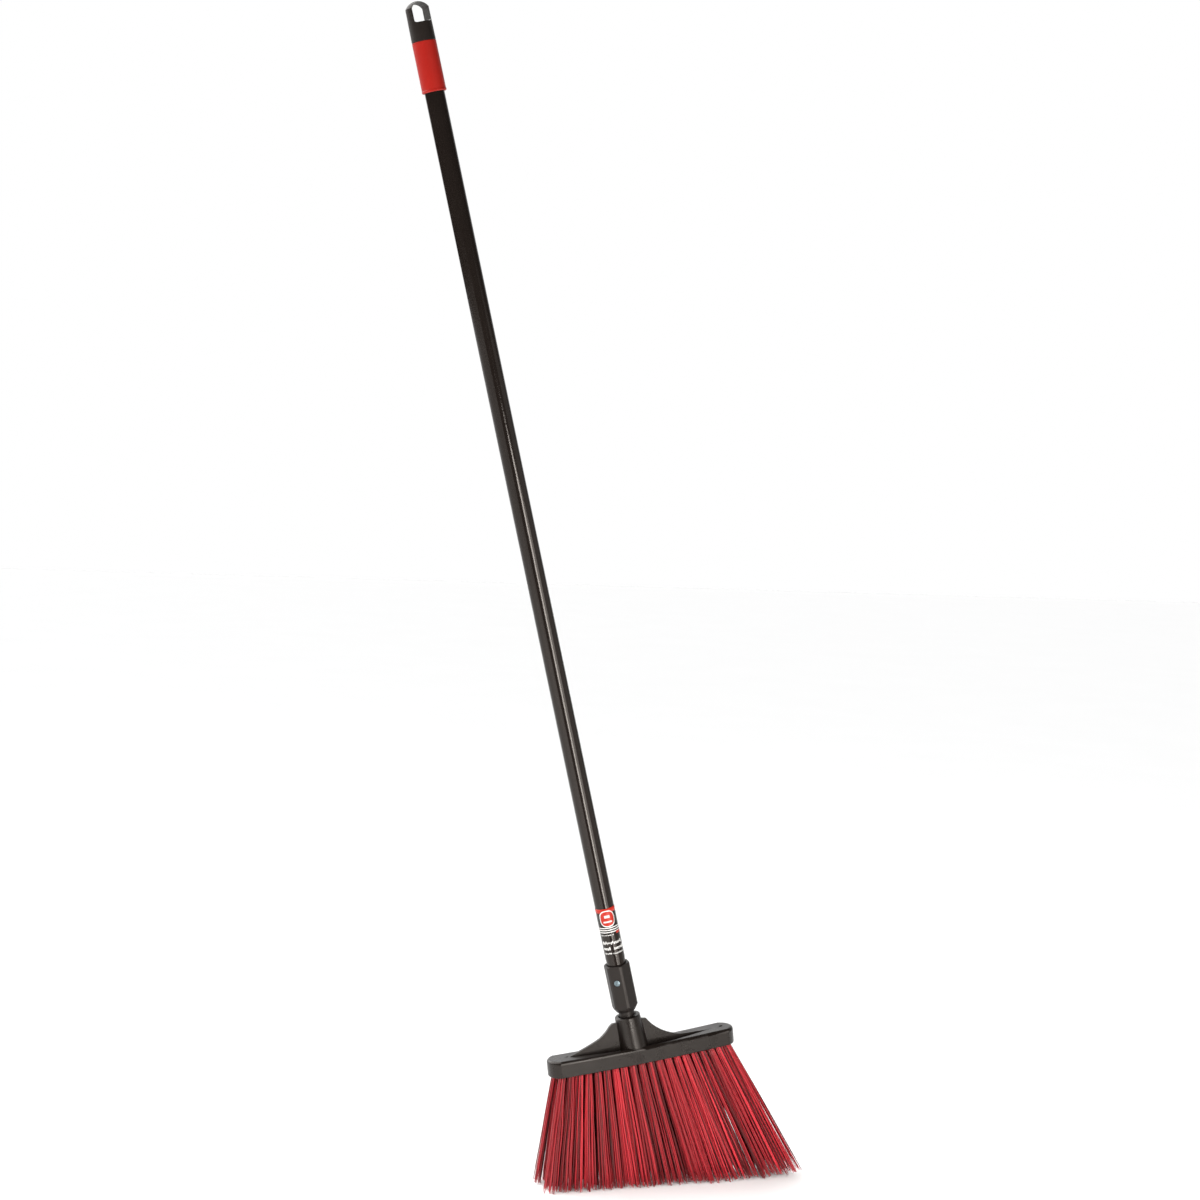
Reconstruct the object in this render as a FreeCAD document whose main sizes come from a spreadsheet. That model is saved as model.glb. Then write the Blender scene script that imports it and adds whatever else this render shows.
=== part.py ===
import FreeCAD, Part
import math
import operator
import os
import types

import Sketcher
from FreeCAD import Placement, Rotation, Vector

# Angle broom: a slanted plastic head with fanned bristle tufts, and a steel tube handle whose
# hexagonal ferrule screws into the head's socket. Every size is in millimetres.
# The broom stands on its trimmed bristle ends: z = 0 is the floor, +Z is up, -Y is the front,
# and the handle leans towards -X.
#
# The handle's parts are drawn with z along the handle and z = 0 at the socket's rim.
# The head's parts are drawn with z = 0 on the head's flat deck and x along the head.

SIZES = [
    # alias, value, meaning
    ("handle_lean", 15.0, "handle's lean from the vertical, degrees"),
    ("socket_lean", 6.6, "socket's lean from the deck's normal, degrees"),
    ("socket_offset", 10.0, "socket axis to the head's middle, on the deck"),
    ("tube_radius", 12.0, "handle tube, outside"),
    ("tube_wall", 0.5, "handle tube's wall"),
    ("tube_foot", 18.0, "tube's lower end, inside the ferrule"),
    ("tube_top", 1209.0, "tube's upper end, under the cap"),
    ("sleeve_radius", 14.45, "red sleeve, outside"),
    ("sleeve_gap", 0.05, "running gap between the sleeve and the tube"),
    ("sleeve_foot", 1152.5, "sleeve's lower end"),
    ("sleeve_top", 1211.6, "sleeve's upper end"),
    ("cap_foot", 1212.0, "cap's shoulder"),
    ("cap_turn", 8.0, "hanging slot, turned from the front, degrees"),
    ("cap_radius", 14.4, "cap at its shoulder"),
    ("cap_top_radius", 13.95, "cap under its dome"),
    ("cap_dome_foot", 1250.7, "where the cap's dome starts"),
    ("cap_top", 1258.6, "cap's highest point"),
    ("cap_plug", 24.0, "plug's length inside the tube"),
    ("slot_width", 21.2, "hanging slot's width"),
    ("slot_foot", 1233.6, "slot's flat lower edge"),
    ("slot_spring", 1250.3, "where the slot's sides end and its low arch starts"),
    ("slot_top", 1256.2, "slot's highest point"),
    ("slot_corner", 2.6, "slot's lower corner radius"),
    ("label_foot", 76.0, "label's lower edge"),
    ("label_top", 140.3, "label's upper edge"),
    ("label_film", 0.2, "label film's thickness"),
    ("label_gap", 0.02, "glue line under the label"),
    ("label_sweep", 340.0, "how far the label wraps, degrees"),
    ("label_turn", -16.0, "label's middle, turned from the front, degrees"),
    ("ferrule_turn", -34.0, "ferrule's screw face, turned from the front, degrees"),
    ("ferrule_flats", 30.0, "ferrule across its flats"),
    ("ferrule_round", 16.4, "radius that rounds the ferrule's corners"),
    ("ferrule_foot", 7.1, "ferrule's lower end"),
    ("ferrule_full", 13.7, "where the ferrule reaches its full section"),
    ("ferrule_top", 68.5, "ferrule's upper end"),
    ("ferrule_bore", 12.1, "ferrule's bore for the tube, radius"),
    ("ferrule_mouth", 13.0, "ferrule's mouth, radius"),
    ("neck_radius", 9.85, "neck under the ferrule"),
    ("tip_length", 37.0, "screw tip's reach below the rim"),
    ("thread_pitch", 5.08, "lift for one turn of the handle"),
    ("thread_turns", 5.5, "turns of thread on the tip"),
    ("thread_foot", 33.0, "thread's first turn, below the rim"),
    ("thread_crest", 9.5, "screw tip's crest radius"),
    ("thread_root", 7.6, "screw tip's root radius"),
    ("thread_crest_width", 1.7, "thread's width at its crest"),
    ("thread_root_width", 3.0, "thread's width at its root"),
    ("thread_gap", 0.35, "running gap between the threads"),
    ("screw_height", 47.0, "fixing screw's height on the ferrule"),
    ("screw_head_radius", 3.75, "fixing screw's head"),
    ("screw_head_height", 1.8, "fixing screw's head height"),
    ("screw_shank_radius", 2.0, "fixing screw's shank"),
    ("screw_length", 8.0, "fixing screw's shank length"),
    ("screw_seat_depth", 0.9, "recess under the fixing screw's head"),
    ("cross_width", 1.1, "drive recess: width of an arm"),
    ("cross_span", 4.4, "drive recess: tip to tip"),
    ("cross_depth", 1.2, "drive recess: depth"),
    ("head_length", 248.0, "head block's length"),
    ("head_straight", 225.0, "length of the block's straight front and back"),
    ("head_depth", 38.0, "head block, front to back"),
    ("head_height", 20.5, "head block's height"),
    ("head_bow", 2.2, "how far the head curves up at bow_reach from its middle"),
    ("bow_reach", 130.0, "where head_bow is measured, along the head"),
    ("deck_round", 3.8, "rounding along the deck's rim"),
    ("base_round", 1.0, "rounding along the block's lower rim"),
    ("socket_rim", 39.5, "rim's height above the deck, along the socket"),
    ("socket_rim_radius", 16.0, "socket's rim, outside"),
    ("socket_base_radius", 18.2, "socket at the deck, outside"),
    ("socket_mouth", 11.8, "socket's chamfered mouth, radius"),
    ("socket_chamfer", 2.6, "mouth chamfer's depth"),
    ("socket_depth", 38.5, "socket bore's depth"),
    ("dish_reach", 99.5, "deck's hollow: half its length"),
    ("dish_half_width", 15.2, "deck's hollow: half its width"),
    ("dish_depth", 6.0, "deck's hollow: depth in its middle"),
    ("dish_end_depth", 0.3, "deck's hollow: depth at its ends, from the deck's middle"),
    ("dish_shift", -3.0, "deck's hollow: middle, along the head"),
    ("rib_width", 4.0, "rib's thickness"),
    ("dimple_place", 109.0, "dimple on the deck, along the head"),
    ("dimple_radius", 2.6, "dimple's radius"),
    ("dimple_depth", 0.7, "dimple's depth"),
    ("row_spacing", 12.0, "between tuft rows at the block"),
    ("outer_row_reach", 110.5, "outer rows' last tuft, along the head"),
    ("hole_radius", 4.45, "tuft hole"),
    ("hole_depth", 13.0, "how deep a tuft sits in its hole"),
    ("hole_clearance", 0.4, "between a tuft's foot and its hole's end"),
    ("tuft_foot_radius", 4.0, "tuft in its hole"),
    ("tuft_tip_radius", 7.3, "tuft at the trimmed end"),
    ("trim_reach", 169.0, "outer rows' last tuft at the floor, from the middle"),
    ("trim_row_spacing", 20.0, "between tuft rows at the floor"),
]

OUTER_TUFTS = 20
MIDDLE_TUFTS = 19
TRIM_OVERRUN = 12.0   # each tuft is drawn this much too long and then trimmed
HOLE_OVERRUN = 5.0    # each hole is cut this far out of the block's underside
FLOOR_SIZE = (500.0, 200.0, 80.0)

OPERATIONS = {"+": operator.add, "-": operator.sub, "*": operator.mul, "/": operator.truediv}


class Size:
    """A number that keeps the sheet formula it comes from."""

    def __init__(self, value, formula):
        self.value = value
        self.formula = formula

    def __add__(self, other):
        return combined(self, "+", other)

    def __radd__(self, other):
        return combined(other, "+", self)

    def __sub__(self, other):
        return combined(self, "-", other)

    def __rsub__(self, other):
        return combined(other, "-", self)

    def __mul__(self, other):
        return combined(self, "*", other)

    def __rmul__(self, other):
        return combined(other, "*", self)

    def __truediv__(self, other):
        return combined(self, "/", other)

    def __neg__(self):
        return combined(-1, "*", self)


def as_size(item):
    return item if isinstance(item, Size) else Size(item, repr(item))


def combined(left, sign, right):
    left, right = as_size(left), as_size(right)
    value = OPERATIONS[sign](left.value, right.value)
    return Size(value, f"({left.formula} {sign} {right.formula})")


def number(item):
    return as_size(item).value


def fill_sheet(rows):
    """Writes the sizes to the sheet and returns them by alias."""
    sheet = doc.addObject("Spreadsheet::Sheet", "Sizes")
    sizes = {}
    for row, (alias, value, meaning) in enumerate(rows, 1):
        sheet.set(f"A{row}", meaning)
        sheet.set(f"B{row}", str(value))
        sheet.setAlias(f"B{row}", alias)
        sizes[alias] = Size(value, f"Sizes.{alias}")
    doc.recompute()
    return types.SimpleNamespace(**sizes)


def bind(item, **sizes):
    """Sets properties, and ties those that come from the sheet to their formula."""
    for name, size in sizes.items():
        setattr(item, name, number(size))
        if isinstance(size, Size):
            item.setExpression(name, size.formula)


def shift(item, x=0.0, y=0.0, z=0.0):
    """Moves a primitive, keeping its rotation."""
    item.Placement.Base = Vector(number(x), number(y), number(z))
    for name, size in (("x", x), ("y", y), ("z", z)):
        if isinstance(size, Size):
            item.setExpression(f"Placement.Base.{name}", size.formula)


def origin_plane(body, role):
    return next(item for item in body.Origin.OriginFeatures if item.Role == role)


def pin_point(sketch, edge, end, x, y):
    """Holds one end of a sketch edge at x, y from the sketch's origin."""
    for kind, axis, size in (("DistanceX", -2, x), ("DistanceY", -1, y)):
        if not isinstance(size, Size) and size == 0:
            sketch.addConstraint(Sketcher.Constraint("PointOnObject", edge, end, axis))
            continue
        made = sketch.addConstraint(Sketcher.Constraint(kind, -1, 1, edge, end, number(size)))
        if isinstance(size, Size):
            sketch.setExpression(f"Constraints[{made}]", size.formula)


def outline(body, role, corners, bulges=None):
    """A closed sketch through the corners. A bulge makes an edge an arc, that far to its left."""
    bulges = bulges or {}
    sketch = body.newObject("Sketcher::SketchObject", body.Name + "Sketch")
    sketch.AttachmentSupport = [(origin_plane(body, role), "")]
    sketch.MapMode = "FlatFace"
    points = [Vector(number(x), number(y), 0) for x, y in corners]
    ends = []
    for i, start in enumerate(points):
        finish = points[(i + 1) % len(points)]
        if i in bulges:
            chord = finish - start
            left = Vector(-chord.y, chord.x, 0).normalize()
            crown = (start + finish) * 0.5 + left * bulges[i]
            edge = sketch.addGeometry(Part.Arc(start, crown, finish))
            forwards = sketch.getPoint(edge, 1).distanceToPoint(start) < 1e-6
            ends.append((1, 2) if forwards else (2, 1))
            rise = abs(bulges[i])
            radius = (chord.Length**2 / 4 + rise**2) / (2 * rise)
            sketch.addConstraint(Sketcher.Constraint("Radius", edge, radius))
        else:
            sketch.addGeometry(Part.LineSegment(start, finish))
            ends.append((1, 2))
    for i, (x, y) in enumerate(corners):
        after = (i + 1) % len(corners)
        joint = Sketcher.Constraint("Coincident", i, ends[i][1], after, ends[after][0])
        sketch.addConstraint(joint)
        pin_point(sketch, i, ends[i][0], x, y)
    return sketch


def turned(label, corners, bulges=None):
    """A body turned about z from a profile in its XZ plane."""
    body = doc.addObject("PartDesign::Body", label)
    sketch = outline(body, "XZ_Plane", corners, bulges)
    feature = body.newObject("PartDesign::Revolution", label + "Turned")
    feature.Profile = sketch
    feature.ReferenceAxis = (sketch, ["V_Axis"])
    feature.Angle = 360
    sketch.Visibility = False
    body.Tip = feature
    return body


def padded(label, role, corners, length, bulges=None, both_ways=False, reverse=False):
    """A body padded from an outline on one of its planes."""
    body = doc.addObject("PartDesign::Body", label)
    sketch = outline(body, role, corners, bulges)
    feature = body.newObject("PartDesign::Pad", label + "Padded")
    feature.Profile = sketch
    feature.Reversed = reverse
    if both_ways:
        feature.SideType = "Symmetric"
    bind(feature, Length=length)
    sketch.Visibility = False
    body.Tip = feature
    return body


def carved(body, role, corners, depth, bulges, name):
    """Cuts an outline through a body, as deep on both sides of the outline's plane."""
    sketch = outline(body, role, corners, bulges)
    feature = body.newObject("PartDesign::Pocket", body.Name + name)
    feature.Profile = sketch
    feature.SideType = "Symmetric"
    bind(feature, Length=depth)
    sketch.Visibility = False
    body.Tip = feature


def threaded(body, gap, foot, turns):
    """Winds a right-hand ridge round a turned body. A gap makes it larger all round."""
    root = S.thread_root + gap
    crest = S.thread_crest + gap
    half_root = S.thread_root_width / 2 + gap
    half_crest = S.thread_crest_width / 2 + gap
    bite = 0.3
    ridge = [
        (root - bite, foot - half_root),
        (crest, foot - half_crest),
        (crest, foot + half_crest),
        (root - bite, foot + half_root),
    ]
    sketch = outline(body, "XZ_Plane", ridge)
    feature = body.newObject("PartDesign::AdditiveHelix", body.Name + "Thread")
    feature.Profile = sketch
    feature.ReferenceAxis = (sketch, ["V_Axis"])
    feature.Mode = "pitch-height-angle"
    bind(feature, Pitch=S.thread_pitch, Height=S.thread_pitch * turns)
    sketch.Visibility = False
    body.Tip = feature


def rounded(body, chosen, radius, name):
    """Fillets the tip's edges that chosen() picks."""
    doc.recompute()
    base = body.Tip
    edges = [f"Edge{i}" for i, edge in enumerate(base.Shape.Edges, 1) if chosen(edge)]
    feature = body.newObject("PartDesign::Fillet", body.Name + name)
    feature.Base = (base, edges)
    bind(feature, Radius=radius)
    body.Tip = feature


def within(low, high):
    """Picks edges that lie wholly between two heights."""
    return lambda edge: all(low < v.Z < high for v in edge.Vertexes)


def primitive(kind, label, **sizes):
    item = doc.addObject(f"Part::{kind}", label)
    bind(item, **sizes)
    return item


def cut(label, base, tool):
    item = doc.addObject("Part::Cut", label)
    item.Base, item.Tool = base, tool
    return item


def fused(label, shapes):
    item = doc.addObject("Part::MultiFuse", label)
    item.Shapes = shapes
    return item


def common(label, shapes):
    item = doc.addObject("Part::MultiCommon", label)
    item.Shapes = shapes
    return item


def along_y(item):
    """Turns a cylinder so that its axis runs from front to back."""
    item.Placement.Rotation = Rotation(Vector(1, 0, 0), 90)


def about_handle(turn):
    """The handle's own placement, turned about its axis."""
    return handle_place.multiply(Placement(Vector(), Rotation(Vector(0, 0, 1), turn)))


def spread(count, reach):
    """Evenly spaced places from -reach to +reach."""
    return [reach * (2 * i / (count - 1) - 1) for i in range(count)]


# Handle ---------------------------------------------------------------------------------


def make_tube(drill):
    inner = S.tube_radius - S.tube_wall
    profile = [
        (inner, S.tube_foot),
        (S.tube_radius, S.tube_foot),
        (S.tube_radius, S.tube_top),
        (inner, S.tube_top),
    ]
    return cut("handle_tube", turned("TubeWall", profile), drill)


def make_sleeve():
    bore = S.tube_radius + S.sleeve_gap
    lip = S.sleeve_radius + 0.35
    profile = [
        (bore, S.sleeve_foot),
        (S.sleeve_radius - 0.6, S.sleeve_foot),
        (lip, S.sleeve_foot + 0.9),
        (lip, S.sleeve_foot + 2.2),
        (S.sleeve_radius, S.sleeve_foot + 3.2),
        (S.sleeve_radius, S.sleeve_top - 0.4),
        (S.sleeve_radius - 0.4, S.sleeve_top),
        (bore, S.sleeve_top),
    ]
    return turned("grip_sleeve", profile)


def make_cap():
    """A plug, a round shoulder and a low dome, with the hanging slot through them."""
    plug = S.tube_radius - S.tube_wall - 0.1
    top_radius, rise = S.cap_top_radius.value, S.cap_top.value - S.cap_dome_foot.value
    chord = math.hypot(top_radius, rise)
    dome_radius = chord**2 / (2 * rise)
    dome_bulge = dome_radius - math.sqrt(dome_radius**2 - chord**2 / 4)
    profile = [
        (0, S.cap_foot - S.cap_plug),
        (plug - 0.8, S.cap_foot - S.cap_plug),
        (plug, S.cap_foot - S.cap_plug + 1.2),
        (plug, S.cap_foot),
        (S.cap_radius - 0.4, S.cap_foot),
        (S.cap_radius, S.cap_foot + 0.5),
        (S.cap_top_radius, S.cap_dome_foot),
        (0, S.cap_top),
    ]
    return cut("hang_cap", turned("CapTurning", profile, bulges={6: -dome_bulge}), make_slot())


def make_slot():
    """The hanging slot: a low arch above, flat below with rounded corners."""
    half, corner = S.slot_width / 2, S.slot_corner
    quarter = corner.value * (1 - math.sqrt(0.5))
    arch = S.slot_top.value - S.slot_spring.value
    corners = [
        (corner - half, S.slot_foot),
        (half - corner, S.slot_foot),
        (half, S.slot_foot + corner),
        (half, S.slot_spring),
        (-half, S.slot_spring),
        (-half, S.slot_foot + corner),
    ]
    bulges = {1: -quarter, 3: -arch, 5: -quarter}
    return padded(
        "HangingSlot", "XZ_Plane", corners, 2 * S.cap_radius + 4, bulges=bulges, both_ways=True
    )


def make_label():
    """A film round the tube, open along a narrow seam at the back."""
    inner = S.tube_radius + S.label_gap
    tall = S.label_top - S.label_foot
    film = primitive(
        "Cylinder", "LabelOutside", Radius=inner + S.label_film, Height=tall, Angle=S.label_sweep
    )
    hollow = primitive("Cylinder", "LabelInside", Radius=inner, Height=tall + 2)
    shift(film, z=S.label_foot)
    shift(hollow, z=S.label_foot - 1)
    return cut("handle_label", film, hollow)


def make_ferrule(drill):
    """A hexagon with rounded corners over a neck and the tip that screws into the socket."""
    flats = S.ferrule_flats / 2
    across = math.tan(math.pi / 6)
    half_side = flats * across
    hexagon = [
        (half_side, -flats),
        (2 * half_side, 0),
        (half_side, flats),
        (-half_side, flats),
        (-2 * half_side, 0),
        (-half_side, -flats),
    ]
    prism = padded("FerruleHexagon", "XY_Plane", hexagon, S.ferrule_top)
    envelope = [
        (0, S.ferrule_foot),
        (S.neck_radius + 2.2, S.ferrule_foot),
        (S.ferrule_round, S.ferrule_full),
        (S.ferrule_round, S.ferrule_top - 1.0),
        (S.ferrule_round - 1.0, S.ferrule_top),
        (0, S.ferrule_top),
    ]
    grip = common("FerruleGrip", [prism, turned("FerruleEnvelope", envelope)])
    core = [
        (0, -S.tip_length),
        (S.thread_root - 2.0, -S.tip_length),
        (S.thread_root, 2.0 - S.tip_length),
        (S.thread_root, -1.8),
        (S.neck_radius, -0.2),
        (S.neck_radius, S.ferrule_foot + 1),
        (0, S.ferrule_foot + 1),
    ]
    tip = turned("FerruleTip", core)
    threaded(tip, 0, -S.thread_foot, S.thread_turns)
    solid = fused("FerruleSolid", [grip, tip])
    bore = [
        (0, S.tube_foot - 0.5),
        (S.ferrule_bore, S.tube_foot - 0.5),
        (S.ferrule_bore, S.ferrule_top - 2.0),
        (S.ferrule_mouth, S.ferrule_top - 0.8),
        (S.ferrule_mouth, S.ferrule_top + 1),
        (0, S.ferrule_top + 1),
    ]
    seat = primitive(
        "Cylinder", "ScrewSeat", Radius=S.screw_head_radius + 0.5, Height=S.screw_seat_depth + 5
    )
    along_y(seat)
    shift(seat, y=-flats + S.screw_seat_depth, z=S.screw_height)
    return cut("ferrule", solid, fused("FerruleCuts", [turned("FerruleBore", bore), seat, drill]))


def make_drill():
    """The hole for the fixing screw, through the ferrule's wall and the tube's."""
    drill = primitive(
        "Cylinder", "ScrewHole", Radius=S.screw_shank_radius + 0.05, Height=S.ferrule_flats / 2
    )
    along_y(drill)
    shift(drill, z=S.screw_height)
    return drill


def make_screw():
    """A low domed head with a cross recess, on a plain shank, drawn with its head upwards."""
    head = S.screw_head_radius
    top = S.screw_head_height
    profile = [
        (0, -S.screw_length),
        (S.screw_shank_radius - 1.0, -S.screw_length),
        (S.screw_shank_radius, 1.8 - S.screw_length),
        (S.screw_shank_radius, 0),
        (head, 0),
        (head, top * 0.35),
        (0, top),
    ]
    turning = turned("ScrewTurning", profile, bulges={5: -0.32})
    arm, reach = S.cross_width / 2, S.cross_span / 2
    cross = [
        (arm, -reach),
        (arm, -arm),
        (reach, -arm),
        (reach, arm),
        (arm, arm),
        (arm, reach),
        (-arm, reach),
        (-arm, arm),
        (-reach, arm),
        (-reach, -arm),
        (-arm, -arm),
        (-arm, -reach),
    ]
    recess = padded("ScrewRecess", "XY_Plane", cross, S.cross_depth + 1)
    shift(recess, z=top - S.cross_depth)
    return cut("ferrule_screw", turning, recess)


# Head -----------------------------------------------------------------------------------


def make_block():
    """A block with bulging ends, bowed so that they sit a little higher than the middle."""
    half, straight = S.head_depth / 2, S.head_straight / 2
    plan = [
        (-straight, -half),
        (straight, -half),
        (straight, half),
        (-straight, half),
    ]
    end = (S.head_length - S.head_straight).value / 2
    tall = 2 * (S.head_height + 2 * S.head_bow)
    bulges = {1: -end, 3: -end}
    block = padded("HeadBlock", "XY_Plane", plan, tall, bulges=bulges, both_ways=True)
    reach, bow = S.bow_reach, S.head_bow
    above = [(-reach, bow), (reach, bow), (reach, tall), (-reach, tall)]
    foot = bow - S.head_height
    below = [(reach, foot), (-reach, foot), (-reach, -tall), (reach, -tall)]
    carved(block, "XZ_Plane", above, S.head_depth + 2, {0: -bow.value}, "Top")
    carved(block, "XZ_Plane", below, S.head_depth + 2, {0: bow.value}, "Underside")
    middle = -S.head_height.value / 2
    rounded(block, within(middle, S.head_height.value), S.deck_round, "Deck")
    rounded(block, within(-2 * S.head_height.value, middle), S.base_round, "Base")
    return block


def make_dish():
    """The deck's boat-shaped hollow: pointed ends, curved sides and a floor that rises to the ends."""
    reach, half = S.dish_reach, S.dish_half_width
    side_radius = (reach * reach + half * half) / (2 * half)
    floor_radius = reach * reach / (2 * (S.dish_depth - S.dish_end_depth))
    sides = []
    for way, name in ((-1, "DishFront"), (1, "DishBack")):
        side = primitive("Cylinder", name, Radius=side_radius, Height=S.head_height)
        shift(side, x=S.dish_shift, y=-way * (side_radius - half), z=-S.head_height / 2)
        sides.append(side)
    floor = primitive("Cylinder", "DishFloor", Radius=floor_radius, Height=2 * S.head_depth)
    along_y(floor)
    shift(floor, x=S.dish_shift, y=S.head_depth, z=floor_radius - S.dish_depth)
    return common("DeckDish", [*sides, floor])


def lean_socket(body, turn=0.0):
    """Stands a turned body on the socket's axis, with its z = 0 at the socket's rim."""
    lean = math.radians(S.socket_lean.value)
    along = Vector(-math.sin(lean), 0, math.cos(lean))
    rim = Vector(-S.socket_offset.value, 0, 0) + along * S.socket_rim.value
    leaning = Placement(rim, Rotation(Vector(0, 1, 0), -S.socket_lean.value))
    body.Placement = leaning.multiply(Placement(Vector(), Rotation(Vector(0, 0, 1), turn)))


def make_socket():
    foot = S.socket_rim + 6
    profile = [
        (0, -foot),
        (S.socket_base_radius, -foot),
        (S.socket_base_radius, -S.socket_rim),
        (S.socket_rim_radius, -0.8),
        (S.socket_rim_radius - 0.8, 0),
        (0, 0),
    ]
    socket = turned("SocketTube", profile)
    lean_socket(socket)
    return socket


def make_bore():
    """The socket's inside: a chamfered mouth over a thread in step with the tip's, with a gap."""
    bore = S.thread_root + S.thread_gap
    profile = [
        (0, -S.socket_depth),
        (bore, -S.socket_depth),
        (bore, -S.socket_chamfer - 2.0),
        (S.neck_radius + 0.4, -S.socket_chamfer),
        (S.socket_mouth, -0.3),
        (S.socket_mouth, 1),
        (0, 1),
    ]
    tap = turned("SocketBore", profile)
    threaded(tap, S.thread_gap, -S.thread_foot - S.thread_pitch, S.thread_turns + 2)
    lean_socket(tap, S.ferrule_turn.value)
    return tap


def make_rib():
    """One upright rib along the middle: a swept brace on each side of the socket."""
    foot = -S.dish_depth - 0.8
    corners = [
        (-97.0, foot),
        (-97.0, 0.8),
        (-60.0, 13.4),
        (-41.6, 26.6),
        (-35.0, 32.0),
        (0, 33.0),
        (9.5, 31.2),
        (56.0, 2.6),
        (96.0, 1.0),
        (96.0, foot),
    ]
    bulges = {1: -0.6, 2: -1.4, 3: 0.7, 6: -5.6}
    return padded("HeadRib", "XZ_Plane", corners, S.rib_width, bulges=bulges, both_ways=True)


def underside_at(x):
    """Height of the bowed block's underside, x along the head."""
    share = x / S.bow_reach.value
    return S.head_bow.value * share**2 - S.head_height.value


def tuft_lines():
    """For each row: its name, and each tuft's mouth on the block and end on the floor."""
    rows = (("front", -1, OUTER_TUFTS), ("middle", 0, MIDDLE_TUFTS), ("back", 1, OUTER_TUFTS))
    inward = (OUTER_TUFTS - 2) / (OUTER_TUFTS - 1)
    lines = {}
    for name, side, count in rows:
        share = inward if side == 0 else 1.0
        mouths = spread(count, S.outer_row_reach.value * share)
        trims = spread(count, S.trim_reach.value * share)
        lines[name] = [
            (
                Vector(x, side * S.row_spacing.value, underside_at(x)),
                Vector(end, side * S.trim_row_spacing.value, 0),
            )
            for x, end in zip(mouths, trims)
        ]
    return lines


def aim(item, start, direction):
    """Stands a cone or a cylinder on start, along a direction."""
    item.Placement = Placement(start, Rotation(Vector(0, 0, 1), direction))


def make_tufts(name, lines, floor):
    """One row of flared tufts, trimmed level with the floor, and the holes they sit in."""
    tufts, holes = [], []
    to_head = head_place.inverse()
    for i, (mouth, trim) in enumerate(lines):
        end = to_head.multVec(trim)
        direction = (end - mouth).normalize()
        start = mouth - direction * S.hole_depth.value
        length = (end - start).Length
        flare = (S.tuft_tip_radius - S.tuft_foot_radius) / length
        full = length + TRIM_OVERRUN
        tuft = primitive(
            "Cone",
            f"Tuft_{name}_{i + 1}",
            Radius1=S.tuft_foot_radius,
            Radius2=S.tuft_foot_radius + flare * full,
            Height=full,
        )
        aim(tuft, start, direction)
        hole = primitive(
            "Cylinder",
            f"Hole_{name}_{i + 1}",
            Radius=S.hole_radius,
            Height=S.hole_depth + HOLE_OVERRUN,
        )
        aim(hole, start - direction * S.hole_clearance.value, direction)
        tufts.append(tuft)
        holes.append(hole)
    bundle = doc.addObject("Part::Compound", f"Tufts_{name}")
    bundle.Links = tufts
    return cut(f"bristle_row_{name}", bundle, floor), holes


def make_floor():
    """A slab whose top is the floor, to trim the tufts with."""
    length, width, height = FLOOR_SIZE
    floor = primitive("Box", "TrimPlane", Length=length, Width=width, Height=height)
    corner = Vector(-length / 2, -width / 2, -height)
    floor.Placement = head_place.inverse().multiply(Placement(corner, Rotation()))
    return floor


def make_head(holes):
    dished = cut("DishedBlock", make_block(), make_dish())
    solid = fused("HeadSolid", [dished, make_socket(), make_rib()])
    dimple = primitive("Cylinder", "Dimple", Radius=S.dimple_radius, Height=2 * S.head_bow)
    shift(dimple, x=S.dimple_place, z=-S.dimple_depth)
    drilled = doc.addObject("Part::Compound", "TuftHoles")
    drilled.Links = holes
    bored = cut("BoredHead", solid, fused("HeadCuts", [make_bore(), dimple]))
    return cut("broom_head", bored, drilled)


# Assembly -------------------------------------------------------------------------------

doc = FreeCAD.newDocument("AngleBroom")
S = fill_sheet(SIZES)

# The origin is the middle of the trimmed ends. This is that point in the handle's own axes.
TRIM_MIDDLE = Vector(13.0, 0, -224.9)

upright_turn = Rotation(Vector(0, 1, 0), -S.handle_lean.value)
handle_place = Placement(upright_turn.multVec(-TRIM_MIDDLE), upright_turn)
lean_to_head = Placement(Vector(0, 0, -S.socket_rim.value), Rotation(Vector(0, 1, 0), S.socket_lean.value))
to_middle = Placement(Vector(S.socket_offset.value, 0, 0), Rotation())
head_place = handle_place.multiply(lean_to_head).multiply(to_middle)
ferrule_place = about_handle(S.ferrule_turn.value)
seat_level = S.ferrule_flats.value / 2 - S.screw_seat_depth.value
screw_place = ferrule_place.multiply(
    Placement(Vector(0, -seat_level, S.screw_height.value), Rotation(Vector(1, 0, 0), 90))
)
seam_at_back = 90 + (360 - S.label_sweep.value) / 2
label_place = about_handle(S.label_turn.value + seam_at_back)
cap_place = about_handle(S.cap_turn.value)

drill = make_drill()
floor = make_floor()
rows, holes = {}, []
for row_name, row_lines in tuft_lines().items():
    rows[row_name], row_holes = make_tufts(row_name, row_lines, floor)
    holes += row_holes

parts = [
    (make_head(holes), head_place),
    *((row, head_place) for row in rows.values()),
    (make_ferrule(drill), ferrule_place),
    (make_screw(), screw_place),
    (make_tube(drill), ferrule_place),
    (make_label(), label_place),
    (make_sleeve(), handle_place),
    (make_cap(), cap_place),
]
for item, place in parts:
    item.Placement = place
doc.recompute()

# Checks and files -----------------------------------------------------------------------

for item in doc.Objects:
    if {"Invalid", "Error"} & set(item.State):
        raise RuntimeError(f"{item.Label} is {item.State}")

os.makedirs("parts", exist_ok=True)
for item, _ in parts:
    if item.Shape.isNull() or not item.Shape.isValid() or not item.Shape.Solids:
        raise RuntimeError(f"{item.Label} has no valid solid")
    item.Shape.exportStep(os.path.join("parts", f"{item.Label}.step"))
    print(f"{item.Label}: {len(item.Shape.Solids)} solid(s), {item.Shape.Volume / 1000:.2f} cm3")
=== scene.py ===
import math

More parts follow.
